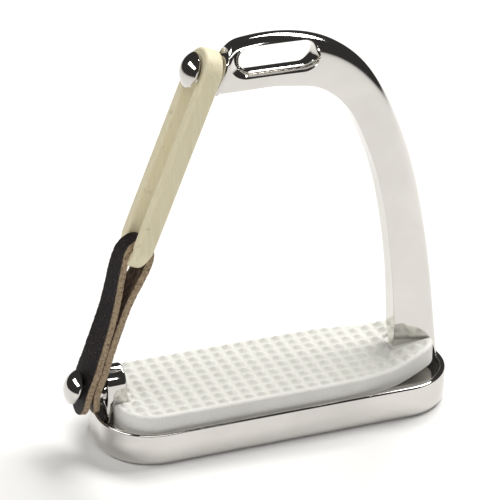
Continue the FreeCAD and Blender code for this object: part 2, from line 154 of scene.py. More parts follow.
@dataclass
class Shell:
    """Closed surfaces gathered as blocks of points and faces."""

    points: list[np.ndarray] = field(default_factory=list)
    faces: list[np.ndarray] = field(default_factory=list)
    marks: list[np.ndarray] = field(default_factory=list)
    used: int = 0

    def block(self, points: np.ndarray, mark: np.ndarray | float = 0.0) -> np.ndarray:
        """Adds points.

        Args:
            points: An array whose last axis is x, y, z in millimetres.
            mark: One number a point, or one for all, kept as the attribute "mark".

        Returns:
            The points' indices, in the array's shape.
        """
        shape = points.shape[:-1]
        count = int(np.prod(shape))
        self.points.append(points.reshape(-1, 3))
        self.marks.append(np.broadcast_to(np.asarray(mark, dtype=float), shape).reshape(-1))
        index = np.arange(self.used, self.used + count).reshape(shape)
        self.used += count
        return index

    def skin(self, index: np.ndarray, rows_close: bool = False) -> None:
        """Joins a grid of indices with quads. Every row is a closed ring.

        Args:
            index: The grid, one row for each ring.
            rows_close: Whether the last ring is joined to the first.
        """
        here = index if rows_close else index[:-1]
        there = np.roll(index, -1, axis=0) if rows_close else index[1:]
        quads = np.stack([here, np.roll(here, -1, axis=1), np.roll(there, -1, axis=1), there], axis=-1)
        self.faces.append(quads.reshape(-1, 4))

    def cap(self, ring: np.ndarray, centre: np.ndarray, first: bool, mark: float = 0.0) -> None:
        """Closes a ring with a fan of triangles to one point.

        Args:
            ring: The ring's indices.
            centre: The point.
            first: Whether it is the tube's first ring, whose fan turns the other way.
            mark: The point's mark.
        """
        pole = np.full(len(ring), self.block(centre[None, :], mark)[0])
        after = np.roll(ring, -1)
        fan = (after, ring, pole) if first else (ring, after, pole)
        self.faces.append(np.stack(fan, axis=-1))

    def tube(self, rows: np.ndarray, mark: np.ndarray | float = 0.0) -> None:
        """A grid of closed rings with both ends capped at their middles.

        Args:
            rows: The rings' points.
            mark: One number a point, or one for all.
        """
        index = self.block(rows, mark)
        self.skin(index)
        self.cap(index[0], rows[0].mean(axis=0), True)
        self.cap(index[-1], rows[-1].mean(axis=0), False)

    def object(self, name: str, crease: float = 40.0) -> bpy.types.Object:
        """Makes the object, its faces turned outwards by the sign of the volume that they hold.

        Args:
            name: The piece's name.
            crease: Edges that turn by more than this many degrees are left sharp.

        Returns:
            The object, linked to the scene, at the origin.
        """
        points = np.concatenate(self.points)
        corners = np.concatenate([block[:, :3] for block in self.faces]
                                 + [block[:, [0, 2, 3]] for block in self.faces if block.shape[1] == 4])
        a, b, c = (points[corners[:, k]] for k in range(3))
        volume = np.einsum("ij,ij->i", a, np.cross(b, c)).sum()
        turned = [block if volume > 0 else block[:, ::-1] for block in self.faces]
        mesh = bpy.data.meshes.new(name)
        faces = [face for block in turned for face in block.tolist()]
        mesh.from_pydata((points * METRE).tolist(), [], faces)
        mesh.attributes.new("mark", "FLOAT", "POINT").data.foreach_set("value", np.concatenate(self.marks))
        mesh.shade_smooth()
        mesh.set_sharp_from_angle(angle=math.radians(crease))
        made = bpy.data.objects.new(name, mesh)
        bpy.context.scene.collection.objects.link(made)
        return made


def carve(piece: bpy.types.Object, cutter: bpy.types.Object, crease: float = 40.0,
          solver: Solver = Solver.EXACT) -> None:
    """Cuts one closed surface out of another and throws the cutter away.

    Args:
        piece: The object that is cut.
        cutter: The object that is taken out of it.
        crease: Edges that turn by more than this many degrees are left sharp.
        solver: How the cut is worked out.
    """
    cut = piece.modifiers.new("carve", "BOOLEAN")
    cut.operation, cut.solver, cut.object = "DIFFERENCE", solver.value, cutter
    graph = bpy.context.evaluated_depsgraph_get()
    made = bpy.data.meshes.new_from_object(piece.evaluated_get(graph))
    piece.modifiers.clear()
    piece.data, spare = made, piece.data
    made.name = piece.name
    made.set_sharp_from_angle(angle=math.radians(crease))
    bpy.data.meshes.remove(spare)
    bpy.data.objects.remove(cutter)


def ease_edges(piece: bpy.types.Object, width: float, segments: int) -> None:
    """Rounds a piece's sharp edges with a live bevel.

    Args:
        piece: The object.
        width: The bevel's width in millimetres.
        segments: Faces across it.
    """
    edge = piece.modifiers.new("edge", "BEVEL")
    edge.width, edge.segments, edge.limit_method = width * METRE, segments, "ANGLE"
    edge.angle_limit = math.radians(SHARP_EDGE)


def rounded_path(length: float, width: float, corner: float, steps: int) -> tuple[np.ndarray, np.ndarray]:
    """A rounded rectangle as the centres of its corners and the way out from them.

    A point of the outline set in by d is centre + way * (corner - d).

    Args:
        length: Along X.
        width: Along Y.
        corner: The corners' radius.
        steps: Points in each corner.

    Returns:
        Centres and unit directions, one row each, going round once.
    """
    turn = np.linspace(0, QUARTER, steps)
    signs = np.array([(1, 1), (-1, 1), (-1, -1), (1, -1)])
    corners = signs * (length / 2 - corner, width / 2 - corner)
    extra = max(int((length - 2 * corner) / SIDE_STEP), 1)
    share = np.linspace(0, 1, extra + 2)[1:-1, None]
    centres, ways = [], []
    for quarter, (here, there) in enumerate(zip(corners, np.roll(corners, -1, axis=0))):
        angle = turn + quarter * QUARTER
        arc = np.stack([np.cos(angle), np.sin(angle)], axis=-1)
        centres += [np.repeat(here[None], steps, axis=0), here * (1 - share) + there * share]
        ways += [arc, np.repeat(arc[-1:], extra, axis=0)]
    return np.concatenate(centres), np.concatenate(ways)


def turned(face: np.ndarray, profile: np.ndarray, steps: int) -> np.ndarray:
    """A profile of (reach, radius) turned about the studs' axis through a point.

    Args:
        face: The point that reach is measured from.
        profile: The profile's points.
        steps: Points round each ring.

    Returns:
        Rings of points, one for each point of the profile.
    """
    angle = np.linspace(0, 2 * math.pi, steps, endpoint=False)
    side = BACK[None] * np.cos(angle)[:, None] + DOWN[None] * np.sin(angle)[:, None]
    reach, radius = profile[:, 0], profile[:, 1]
    return face + OUT * reach[:, None, None] + side[None] * radius[:, None, None]


# ---------------------------------------------------------------- finishes


class Board:
    """The node tree of one material, with the runs of nodes that the finishes share."""

    # a Mix node's places for the factor and two colours, and for the colour that comes out
    MIX_SOCKETS = (0, 6, 7)
    MIX_RESULT = 2

    def __init__(self, name: str) -> None:
        """Starts a material with a Principled shader and the object's own coordinates.

        Args:
            name: The material's name.
        """
        self.material = bpy.data.materials.new(name)
        self.material.use_nodes = True
        self.nodes = self.material.node_tree.nodes
        self.links = self.material.node_tree.links
        self.shader = self.nodes["Principled BSDF"]
        self.place = self.nodes.new("ShaderNodeTexCoord").outputs["Object"]

    def put(self, socket: bpy.types.NodeSocket, value: object) -> None:
        """Links a socket to a source, or sets its constant.

        Args:
            socket: The socket.
            value: Another node's output, or the constant.
        """
        if isinstance(value, bpy.types.NodeSocket):
            self.links.new(value, socket)
        else:
            socket.default_value = value

    def set(self, **sockets: object) -> None:
        """Puts values on the shader's sockets, named with _ for a space."""
        for word, value in sockets.items():
            self.put(self.shader.inputs[word.replace("_", " ")], value)

    def stretched(self, scale: tuple[float, float, float], lean: float = 0.0) -> bpy.types.NodeSocket:
        """The object's coordinates turned about Y, then stretched.

        Args:
            scale: The stretch along each axis.
            lean: The turn in radians.

        Returns:
            The coordinates.
        """
        node = self.nodes.new("ShaderNodeMapping")
        node.vector_type = "POINT"
        self.links.new(self.place, node.inputs["Vector"])
        node.inputs["Rotation"].default_value = (0.0, lean, 0.0)
        node.inputs["Scale"].default_value = scale
        return node.outputs["Vector"]

    def noise(self, scale: float, detail: float = 3.0, where: bpy.types.NodeSocket | None = None,
              warp: float = 0.0) -> bpy.types.NodeSocket:
        """Soft random spots.

        Args:
            scale: Spots a metre.
            detail: Octaves.
            where: Coordinates, the object's own if not given.
            warp: How much the spots twist.

        Returns:
            A factor round one half.
        """
        node = self.nodes.new("ShaderNodeTexNoise")
        self.links.new(where or self.place, node.inputs["Vector"])
        node.inputs["Scale"].default_value = scale
        node.inputs["Detail"].default_value = detail
        node.inputs["Distortion"].default_value = warp
        return node.outputs["Fac"]

    def cells(self, scale: float, where: bpy.types.NodeSocket | None = None) -> bpy.types.NodeSocket:
        """The distance to the nearest of a random set of points.

        Args:
            scale: Points a metre.
            where: Coordinates, the object's own if not given.

        Returns:
            The distance.
        """
        node = self.nodes.new("ShaderNodeTexVoronoi")
        self.links.new(where or self.place, node.inputs["Vector"])
        node.inputs["Scale"].default_value = scale
        return node.outputs["Distance"]

    def mark(self, name: str) -> bpy.types.NodeSocket:
        """A number kept on the mesh.

        Args:
            name: The attribute's name.

        Returns:
            The number.
        """
        node = self.nodes.new("ShaderNodeAttribute")
        node.attribute_name = name
        return node.outputs["Fac"]

    def spread(self, factor: bpy.types.NodeSocket, low: float, high: float, start: float = 0.0,
               stop: float = 1.0) -> bpy.types.NodeSocket:
        """Carries start..stop to low..high, held outside that.

        Args:
            factor: The number that is carried over.
            low: The result at start.
            high: The result at stop.
            start: Where the change begins.
            stop: Where it ends.

        Returns:
            The result.
        """
        node = self.nodes.new("ShaderNodeMapRange")
        for word, value in zip(("Value", "From Min", "From Max", "To Min", "To Max"),
                               (factor, start, stop, low, high)):
            self.put(node.inputs[word], value)
        return node.outputs["Result"]

    def mixed(self, factor: object, first: object, second: object) -> bpy.types.NodeSocket:
        """Two colours mixed by a factor.

        Args:
            factor: The second colour's share.
            first: A colour or a source of one.
            second: Likewise.

        Returns:
            The mixed colour.
        """
        node = self.nodes.new("ShaderNodeMix")
        node.data_type = "RGBA"
        for socket, value in zip(self.MIX_SOCKETS, (factor, first, second)):
            self.put(node.inputs[socket], value)
        return node.outputs[self.MIX_RESULT]

    def lift(self, height: bpy.types.NodeSocket, depth: float, strength: float = 1.0,
             under: bpy.types.NodeSocket | None = None) -> bpy.types.NodeSocket:
        """A bump on top of another normal.

        Args:
            height: The pattern.
            depth: Its depth in metres.
            strength: Its share.
            under: The normal below it, the surface's own if not given.

        Returns:
            The normal.
        """
        node = self.nodes.new("ShaderNodeBump")
        node.inputs["Strength"].default_value = strength
        node.inputs["Distance"].default_value = depth
        self.links.new(height, node.inputs["Height"])
        if under:
            self.links.new(under, node.inputs["Normal"])
        return node.outputs["Normal"]


@dataclass(frozen=True)
class PolishedSteel:
    """Mirror-polished cast stainless steel: faint hand-polishing waves, wipe marks and hairline scratches."""

    bright: tuple[float, ...] = (0.66, 0.645, 0.62, 1.0)
    dull: tuple[float, ...] = (0.62, 0.605, 0.58, 1.0)
    gloss: tuple[float, ...] = (0.04, 0.10)
    smears: float = 55.0
    hairs: tuple[float, ...] = (700.0, 5200.0, 420.0)
    hair_lean: float = 0.35
    grains: float = 5200.0
    waves: float = 38.0
    wave_depth: float = 0.0004
    hair_depth: float = 0.00001
    grain_depth: float = 0.000004

    def material(self) -> bpy.types.Material:
        """Sets up the nodes.

        Returns:
            The material.
        """
        board = Board(Slot.STEEL.value)
        smear = board.noise(self.smears, 4.0, warp=0.6)
        hairs = board.noise(1.0, 2.0, board.stretched(self.hairs, self.hair_lean))
        grains = board.noise(self.grains, 1.0)
        board.set(
            Base_Color=board.mixed(board.spread(smear, 0.0, 1.0, 0.35, 0.7), self.bright, self.dull),
            Metallic=1.0,
            Roughness=board.spread(smear, *self.gloss, 0.3, 0.75),
        )
        waves = board.lift(board.noise(self.waves, 1.0), self.wave_depth, 0.12)
        fine = board.lift(hairs, self.hair_depth, 0.35, waves)
        board.set(Normal=board.lift(grains, self.grain_depth, 0.3, fine))
        return board.material


@dataclass(frozen=True)
class PadRubber:
    """Matt off-white moulded rubber, with painted shade, greyer and a little green, in the valleys between
    its studs.
    """

    top: tuple[float, ...] = (0.80, 0.80, 0.765, 1.0)
    shade: tuple[float, ...] = (0.75, 0.75, 0.71, 1.0)
    # painted shade colour for the valleys between studs, also used as the colour of the random flecks
    fleck_and_valley_shade: tuple[float, ...] = (0.66, 0.665, 0.62, 1.0)
    clouds: float = 70.0
    specks: float = 900.0
    coarse: float = 420.0
    coarse_depth: float = 0.00018
    fine: float = 3600.0
    fine_depth: float = 0.00003

    def material(self) -> bpy.types.Material:
        """Sets up the nodes.

        Returns:
            The material.
        """
        board = Board(Slot.PAD.value)
        cloud = board.noise(self.clouds, 4.0, warp=0.4)
        speck = board.noise(self.specks, 3.0)
        body = board.mixed(board.spread(cloud, 0.0, 1.0, 0.35, 0.7), self.top, self.shade)
        # painted shade: the mesh's mark turns the valleys between studs darker and a little green
        tone = board.mixed(board.spread(board.mark("mark"), 0.0, 0.8), body, self.fleck_and_valley_shade)
        flecks = board.mixed(board.spread(speck, 0.0, 0.5, 0.6, 0.75), tone, self.fleck_and_valley_shade)
        board.set(Base_Color=flecks, Roughness=board.spread(cloud, 0.52, 0.7), Specular_IOR_Level=0.35)
        coarse = board.lift(board.noise(self.coarse, 3.0), self.coarse_depth, 0.45)
        board.set(Normal=board.lift(board.noise(self.fine, 2.0), self.fine_depth, 0.6, coarse))
        return board.material


@dataclass(frozen=True)
class BandRubber:
    """Cream latex band with drawn lines along it and faint grey rubbing marks."""

    cream: tuple[float, ...] = (0.83, 0.77, 0.56, 1.0)
    warm: tuple[float, ...] = (0.77, 0.70, 0.48, 1.0)
    grey: tuple[float, ...] = (0.26, 0.235, 0.17, 1.0)
    lines: tuple[float, ...] = (900.0, 1100.0, 60.0)
    line_depth: float = 0.00012
    rubs: float = 330.0
    glow: float = 0.06
    glow_reach: tuple[float, ...] = (0.004, 0.003, 0.0015)
    fine: float = 2600.0
    fine_depth: float = 0.00003

    def material(self) -> bpy.types.Material:
        """Sets up the nodes.

        Returns:
            The material.
        """
        board = Board(Slot.RING.value)
        drawn = board.noise(1.0, 3.0, board.stretched(self.lines, LEAN))
        rubbed = board.noise(self.rubs, 5.0)
        body = board.mixed(board.spread(drawn, 0.0, 1.0, 0.35, 0.7), self.cream, self.warm)
        board.set(
            Base_Color=board.mixed(board.spread(rubbed, 0.0, 0.35, 0.62, 0.76), body, self.grey),
            Roughness=board.spread(rubbed, 0.42, 0.62),
            Subsurface_Weight=self.glow,
            Subsurface_Radius=self.glow_reach,
            Specular_IOR_Level=0.4,
        )
        lines = board.lift(drawn, self.line_depth, 0.5)
        board.set(Normal=board.lift(board.noise(self.fine, 2.0), self.fine_depth, 0.5, lines))
        return board.material


@dataclass(frozen=True)
class BridleLeather:
    """Black-brown bridle leather: pebbled grain outside, raw tan at the cut edges, streaked flesh inside.

    The mark on the mesh is 0 on the grain side, 1 on a cut edge and 2 on the flesh side.
    """

    grain: tuple[float, ...] = (0.010, 0.007, 0.0085, 1.0)
    worn: tuple[float, ...] = (0.19, 0.15, 0.14, 1.0)
    edge: tuple[float, ...] = (0.44, 0.34, 0.225, 1.0)
    edge_dark: tuple[float, ...] = (0.15, 0.10, 0.065, 1.0)
    flesh: tuple[float, ...] = (0.045, 0.03, 0.026, 1.0)
    pebbles: float = 1250.0
    pebble_depth: float = 0.00022
    pores: float = 2400.0
    pore_depth: float = 0.00008
    streaks: tuple[float, ...] = (700.0, 900.0, 110.0)
    fibres: float = 1500.0
    fibre_depth: float = 0.0004

    def material(self) -> bpy.types.Material:
        """Sets up the nodes.

        Returns:
            The material.
        """
        board = Board(Slot.LEATHER.value)
        pebbles = board.cells(self.pebbles)
        pores = board.noise(self.pores, 3.0)
        streaks = board.noise(1.0, 4.0, board.stretched(self.streaks, LEAN))
        side = board.mark("mark")
        fibres = board.noise(self.fibres, 5.0, warp=0.5)
        skin = board.mixed(board.spread(pores, 0.0, 1.0, 0.62, 0.72), self.grain, self.worn)
        raw = board.mixed(board.spread(fibres, 0.0, 1.0, 0.45, 0.68), self.edge, self.edge_dark)
        inner = board.mixed(board.spread(streaks, 0.0, 1.0, 0.35, 0.65), self.flesh, self.edge_dark)
        rim = board.mixed(board.spread(side, 0.0, 1.0, 0.45, 0.8), skin, raw)
        board.set(
            Base_Color=board.mixed(board.spread(side, 0.0, 1.0, 1.3, 1.7), rim, inner),
            Roughness=board.spread(pores, 0.5, 0.8),
            Specular_IOR_Level=0.22,
        )
        deep = board.lift(pebbles, self.pebble_depth, 0.55)
        pitted = board.lift(pores, self.pore_depth, 0.6, deep)
        board.set(Normal=board.lift(fibres, self.fibre_depth, 0.6, pitted))
        return board.material


@dataclass(frozen=True)
class PaleFloor:
    """The plain pale floor."""

    tone: tuple[float, ...] = (0.9, 0.9, 0.9, 1.0)

    def material(self) -> bpy.types.Material:
        """Sets up the nodes.

        Returns:
            The material.
        """
        board = Board("pale_floor")
        board.set(Base_Color=self.tone, Roughness=0.9, Specular_IOR_Level=0.1)
        return board.material


def make_finishes() -> Finishes:
    """One material for each slot."""
    return {Slot.STEEL: PolishedSteel().material(), Slot.PAD: PadRubber().material(),
            Slot.RING: BandRubber().material(), Slot.LEATHER: BridleLeather().material()}


def settle(piece: bpy.types.Object, body: Body, slot: Slot, finishes: Finishes, *nodes: str) -> None:
    """Dresses a piece, lets it ride on its body and hides the nodes that it stands for.

    Args:
        piece: The finished object.
        body: The body that it moves with.
        slot: The record's slot.
        finishes: The materials.
        nodes: The CAD nodes that it stands for.
    """
    piece.data.materials.clear()
    piece.data.materials.append(finishes[slot])
    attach(piece, body.value)
    claim(piece, slot, *nodes)


def claim(piece: bpy.types.Object, slot: Slot, *nodes: str) -> None:
    """Hides the nodes that a piece stands for, and reports the piece with its slot.

    Args:
        piece: The finished object.
        slot: The record's slot.
        nodes: The CAD nodes that it stands for.
    """
    if nodes:
        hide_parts(*nodes)
    LOG.info("%s: %d faces, %s", piece.name, len(piece.data.polygons), slot.value)


# ---------------------------------------------------------------- the casting


@dataclass
class Tread:
    """The cast tread: a walled tray with a rounded foot, a hollow underside and a floor with two windows."""

    length: float = 144.0
    width: float = 50.6
    corner: float = 22.0
    height: float = 14.0
    wall: float = 2.2
    skirt: float = 4.2
    foot: float = 3.0
    rim: float = 0.85
    floor_top: float = 12.5
    floor_low: float = 6.5
    bulge: float = 0.12
    rim_inside: float = 0.35
    skirt_edge: float = 0.4
    sunk: float = 0.2
    clear: float = 20.0
    edge: float = 0.4
    crease: float = 30.0
    bar: float = 9.0
    window: tuple[float, ...] = (46.0, 29.0, 9.0)

    def wall_profile(self) -> np.ndarray:
        """The wall's section as (set-in, height), going round once.

        The foot and rim are quarter and half circles, and the outer side bulges as a half sine.

        Returns:
            The section's points.
        """
        turn = np.linspace(-QUARTER, -math.pi, 12)
        foot_arc = self.foot + np.stack([np.cos(turn), np.sin(turn)], axis=-1) * self.foot
        climb = np.linspace(0, 1, 14)[1:-1]
        side = np.stack([-self.bulge * np.sin(climb * math.pi),
                         self.foot + climb * (self.height - self.rim - self.foot)], axis=-1)
        side[:, 0] += self.bulge
        foot_arc[:, 0] += self.bulge
        turn = np.linspace(math.pi, QUARTER, 7)
        outer = np.stack([self.rim + np.cos(turn) * self.rim,
                          self.height - self.rim + np.sin(turn) * self.rim], axis=-1)
        turn = np.linspace(QUARTER, 0, 5)
        inner = np.stack([self.wall - self.rim_inside + np.cos(turn) * self.rim_inside,
                          self.height - self.rim_inside + np.sin(turn) * self.rim_inside], axis=-1)
        skirt, edge = self.skirt, self.skirt_edge
        rest = np.array([(self.wall, self.floor_top), (self.wall, self.floor_low + 3),
                         (skirt, self.floor_low), (skirt, edge), (skirt - 0.1, 0.1), (skirt - edge, 0.0)])
        return np.concatenate([foot_arc, side, outer, inner, rest])

    def build_wall(self) -> bpy.types.Object:
        """The wall's section carried round the rounded rectangle.

        Returns:
            The object.
        """
        centres, ways = rounded_path(self.length, self.width, self.corner, 40)
        profile = self.wall_profile()
        flat = centres[:, None] + ways[:, None] * (self.corner - profile[None, :, :1])
        high = np.broadcast_to(profile[None, :, 1:], flat.shape[:2] + (1,))
        shell = Shell()
        shell.skin(shell.block(np.concatenate([flat, high], axis=-1)), rows_close=True)
        return shell.object("cast_tread_wall", self.crease)

    def slab(self, name: str, box: tuple[float, ...], corner: float, low: float,
             high: float) -> bpy.types.Object:
        """A rounded rectangle between two heights.

        Args:
            name: The piece's name.
            box: Its middle along X, its length and its width.
            corner: The corners' radius.
            low: Its underside.
            high: Its top.

        Returns:
            The object.
        """
        middle, length, width = box
        centres, ways = rounded_path(length, width, corner, 16)
        flat = centres + ways * corner + np.array([middle, 0.0])
        rows = np.stack([np.column_stack([flat, np.full(len(flat), z)]) for z in (low, high)])
        shell = Shell()
        shell.tube(rows)
        return shell.object(name, self.crease)

    def build_floor(self) -> bpy.types.Object:
        """The floor plate, its two windows cut through beside the middle bar.

        Returns:
            The object.
        """
        sink = self.wall - self.sunk
        floor = self.slab("cast_tread_floor", (0.0, self.length - 2 * sink, self.width - 2 * sink),
                          self.corner - sink, self.floor_low, self.floor_top)
        span, depth, corner = self.window
        for sign in (-1, 1):
            middle = sign * (self.bar + span) / 2
            carve(floor, self.slab("cutter", (middle, span, depth), corner, 0.0, self.clear), self.crease)
        ease_edges(floor, self.edge, 2)
        return floor


@dataclass
class Arch:
    """The arm and crown: a D-shaped section carried from the crown's end round to the root.

    The law's rows are the share of the reach from the crown's middle to the foot, the share of the rise,
    and the width between the crown's depth (0), the arm's width (1) and the root's width (2).
    """

    top: float = 160.0
    widths: tuple[float, ...] = (19.8, 15.2, 19.0)
    foot: float = 61.9
    low: float = 9.5
    law: Law = ((0.0, 1.0, 0.0), (0.135, 0.993, 0.0), (0.295, 0.974, 0.3), (0.45, 0.93, 0.6),
                (0.575, 0.865, 0.9), (0.68, 0.775, 1.0), (0.782, 0.655, 1.0), (0.874, 0.485, 1.15),
                (0.936, 0.305, 1.45), (0.97, 0.145, 1.75), (1.0, 0.0, 2.0))
    depth_law: Law = ((0.0, 12.8), (14.0, 12.8), (29.0, 11.8), (47.0, 10.2), (89.0, 10.2),
                      (126.5, 10.2), (146.0, 11.0), (170.0, 11.0))
    flat_share: float = 0.78
    widest: float = 0.12
    end_round: float = 2.0
    eye_middle: tuple[float, ...] = (0.7, 151.3)
    eye_half: tuple[float, ...] = (10.0, 4.7)
    eye_flare: float = 1.95
    eye_stretch: float = 1.0
    flare_lean: float = 1.75
    flare_depth: float = 4.2
    flare_power: float = 1.7
    past_face: float = 1.3
    crown_shoulder: float = 5.5
    edge_power: float = 0.8
    inner_corner: tuple[float, ...] = (0.035, 0.05)
    crease: float = 28.0
    facet: Law = ((53.9, -5.0, 31.5), (64.2, -6.2, 27.8), (51.9, -2.4, 21.4))
    facet_inside: tuple[float, ...] = (60.0, 0.0, 24.0)

    def outlines(self) -> tuple[np.ndarray, np.ndarray]:
        """The outlines in XZ, paired point by point, crown end first.

        Returns:
            The outer and the inner outline.
        """
        law = np.array(self.law)
        middle = np.column_stack([law[:, 0] * self.foot,
                                  self.low + law[:, 1] * (self.top - self.widths[0] / 2 - self.low)])
        width = np.interp(law[:, 2], (0, 1, 2), self.widths)[:, None]
        along = np.concatenate([middle[1:], middle[-1:]]) - np.concatenate([middle[:1], middle[:-1]])
        along[0] = (1.0, 0.0)
        along /= np.linalg.norm(along, axis=1)[:, None]
        across = np.column_stack([-along[:, 1], along[:, 0]])
        outer, inner = middle + across * width / 2, middle - across * width / 2
        lean = math.tan(LEAN)
        end_low = (UPPER_FACE[0] - (UPPER_FACE[2] - inner[0, 1]) * lean, inner[0, 1])
        shoulder = self.top - self.crown_shoulder
        end_top = (UPPER_FACE[0] + (shoulder - UPPER_FACE[2]) * lean, shoulder)
        lead = np.array([end_top, (end_top[0] + 2.6, self.top - 2.4), (end_top[0] + 8.0, self.top - 0.6)])
        under = np.array([end_low, (end_low[0] * 0.77, end_low[1]), (end_low[0] * 0.42, end_low[1])])
        return np.concatenate([lead, outer]), np.concatenate([under, inner])

    def section(self) -> tuple[np.ndarray, np.ndarray]:
        """One side of the D as shares of half the width (u) and half the depth (v), closed by its mirror.

        The inner face is flat to flat_share, the side swells from there as a parabola to the widest place,
        and the outer edge is a superellipse of power 2 / edge_power.

        Returns:
            The shares u and v, going round once.
        """
        deep, wide = self.inner_corner
        flat = np.linspace(0, self.flat_share - wide, 7)
        turn = np.linspace(0, QUARTER, 5)[1:]
        corner_u = -1 + deep * (1 - np.cos(turn))
        corner_v = self.flat_share - wide + wide * np.sin(turn)
        swell = np.linspace(-0.94, self.widest, 16)
        away = (self.widest - swell) / (1 + self.widest)
        swell_v = self.flat_share + (1 - self.flat_share) * (1 - away ** 2)
        bow = np.linspace(0, QUARTER, 22)[1:]
        outer_u = self.widest + (1 - self.widest) * np.sin(bow) ** self.edge_power
        outer_v = np.clip(np.cos(bow), 0, 1) ** self.edge_power
        u = np.concatenate([np.full_like(flat, -1.0), corner_u, swell, outer_u])
        v = np.concatenate([flat, corner_v, swell_v, outer_v])
        return np.concatenate([u, u[-2:0:-1]]), np.concatenate([v, -v[-2:0:-1]])

    def build(self) -> bpy.types.Object:
        """The swept arch with its rounded end, the flared eye and the two facets at its root.

        Returns:
            The object.
        """
        outer, inner = self.outlines()
        walk = chord((outer + inner) / 2)
        at = np.linspace(0, walk[-1], 190)[2:]
        outside, inside = spline(walk, outer, at), spline(walk, inner, at)
        outside = np.concatenate([outer[:1], outside])
        inside = np.concatenate([inner[:1], inside])
        u, v = self.section()
        middle, half = (outside + inside) / 2, (outside - inside) / 2
        flat = middle[:, None] + half[:, None] * u[None, :, None]
        depth_law = np.array(self.depth_law)
        height = np.clip(middle[:, 1], 0, depth_law[-1, 0])
        depth = spline(depth_law[:, 0], depth_law[:, 1:], height)[:, 0] / 2
        rows = np.stack([flat[..., 0], depth[:, None] * v[None], flat[..., 1]], axis=-1)
        rows = np.concatenate([self.rounded_end(rows[0]), rows[1:]])
        shell = Shell()
        shell.tube(rows)
        arch = shell.object("cast_arch", self.crease)
        carve(arch, self.eye_cutter(), self.crease)
        for side in (-1, 1):
            carve(arch, self.facet_cutter(side), self.crease)
        return arch

    def rounded_end(self, row: np.ndarray) -> np.ndarray:
        """Rings that round the edge of the crown's end as a quarter circle.

        Args:
            row: The section at the end.

        Returns:
            The rings, outermost first.
        """
        centre = row.mean(axis=0)
        turn = np.linspace(QUARTER, 0, 6)[:, None, None]
        reach = np.linalg.norm(row - centre, axis=1)[None, :, None]
        set_in = self.end_round * (1 - np.cos(turn)) / reach
        return centre + (row - centre)[None] * (1 - set_in) - OUT * self.end_round * (1 - np.sin(turn))

    def eye_cutter(self) -> bpy.types.Object:
        """The eye: an oblong that opens out as a power of the depth towards both faces.

        Returns:
            The object.
        """
        y = np.concatenate([np.linspace(-8, -1.2, 30), [0.0], np.linspace(1.2, 8, 30)])
        near_face = self.depth_law[-1][1] / 2
        share = np.clip((np.abs(y) - near_face + self.flare_depth) / self.flare_depth, 0, self.past_face)
        opening = share[:, None] ** self.flare_power
        grow = self.eye_flare * opening
        turn = np.linspace(-QUARTER, QUARTER, 40)
        angle = np.concatenate([turn, turn + math.pi])
        side = np.repeat((1.0, -1.0), len(turn))
        reach, radius = self.eye_half
        middle = self.eye_middle[0] - self.flare_lean * opening
        x = middle + side * (reach + self.eye_stretch * opening) + np.cos(angle) * (radius + grow)
        z = self.eye_middle[1] + np.sin(angle) * (radius + grow)
        shell = Shell()
        shell.tube(np.stack([x, np.broadcast_to(y[:, None], x.shape), z], axis=-1))
        return shell.object("cutter")

    def facet_cutter(self, side: int) -> bpy.types.Object:
        """A block whose one face lies on the root's facet.

        Args:
            side: To the front (-1) or the back (1).

        Returns:
            The object.
        """
        a, b, c = (np.array(corner) * (1, -side, 1) for corner in self.facet)
        along = (b - a) / np.linalg.norm(b - a)
        into = np.cross(b - a, c - a)
        into *= np.sign(into @ (np.array(self.facet_inside) - a)) / np.linalg.norm(into)
        across = np.cross(into, along)
        ring = np.array([(-30, -30), (30, -30), (30, 30), (-30, 30)], dtype=float)
        face = a + along * ring[:, :1] + across * ring[:, 1:]
        shell = Shell()
        shell.tube(np.stack([face, face - into * 25.0]))
        return shell.object("cutter")


@dataclass
class Lug:
    """The upright that carries the lower stud: a round-topped plate with eased edges."""

    start: float = -68.4
    length: float = 8.2
    half: float = 7.0
    top: float = 33.0
    low: float = 10.5
    ease: float = 1.1
    side_points: int = 7
    round_points: int = 48

    def build(self) -> bpy.types.Object:
        """Outlines set in by a quarter circle at both faces, joined along X.

        Returns:
            The object.
        """
        turn = np.linspace(0, QUARTER, 6)
        set_in = np.concatenate([self.ease * (1 - np.sin(turn)), self.ease * (1 - np.sin(turn[::-1]))])
        x = np.concatenate([self.start + self.ease * (1 - np.cos(turn)),
                            self.start + self.length - self.ease * (1 - np.cos(turn[::-1]))])
        angle = np.linspace(0, math.pi, self.round_points)
        lift = np.linspace(self.low, self.top - self.half, self.side_points + 1)[:-1]
        y_way = np.concatenate([np.ones_like(lift), np.cos(angle), -np.ones_like(lift)])
        z_base = np.concatenate([lift, np.full_like(angle, self.top - self.half), lift[::-1]])
        z_way = np.concatenate([np.zeros_like(lift), np.sin(angle), np.zeros_like(lift)])
        radius = self.half - set_in[:, None]
        rows = np.stack([np.broadcast_to(x[:, None], (len(x), len(y_way))), y_way[None] * radius,
                         z_base[None] + z_way[None] * radius], axis=-1)
        shell = Shell()
        shell.tube(rows)
        return shell.object("cast_lug", 30.0)


@dataclass
class Casting:
    """The one-piece iron: tread, lug, arm and crown."""

    tread: Tread = field(default_factory=Tread)
    arch: Arch = field(default_factory=Arch)
    lug: Lug = field(default_factory=Lug)

    def assemble(self, finishes: Finishes) -> None:
        """Builds and dresses the casting's surfaces.

        Args:
            finishes: The materials.
        """
        settle(self.arch.build(), Body.FRAME, Slot.STEEL, finishes, "stirrup_frame")
        settle(self.tread.build_wall(), Body.FRAME, Slot.STEEL, finishes)
        settle(self.tread.build_floor(), Body.FRAME, Slot.STEEL, finishes)
        settle(self.lug.build(), Body.FRAME, Slot.STEEL, finishes)


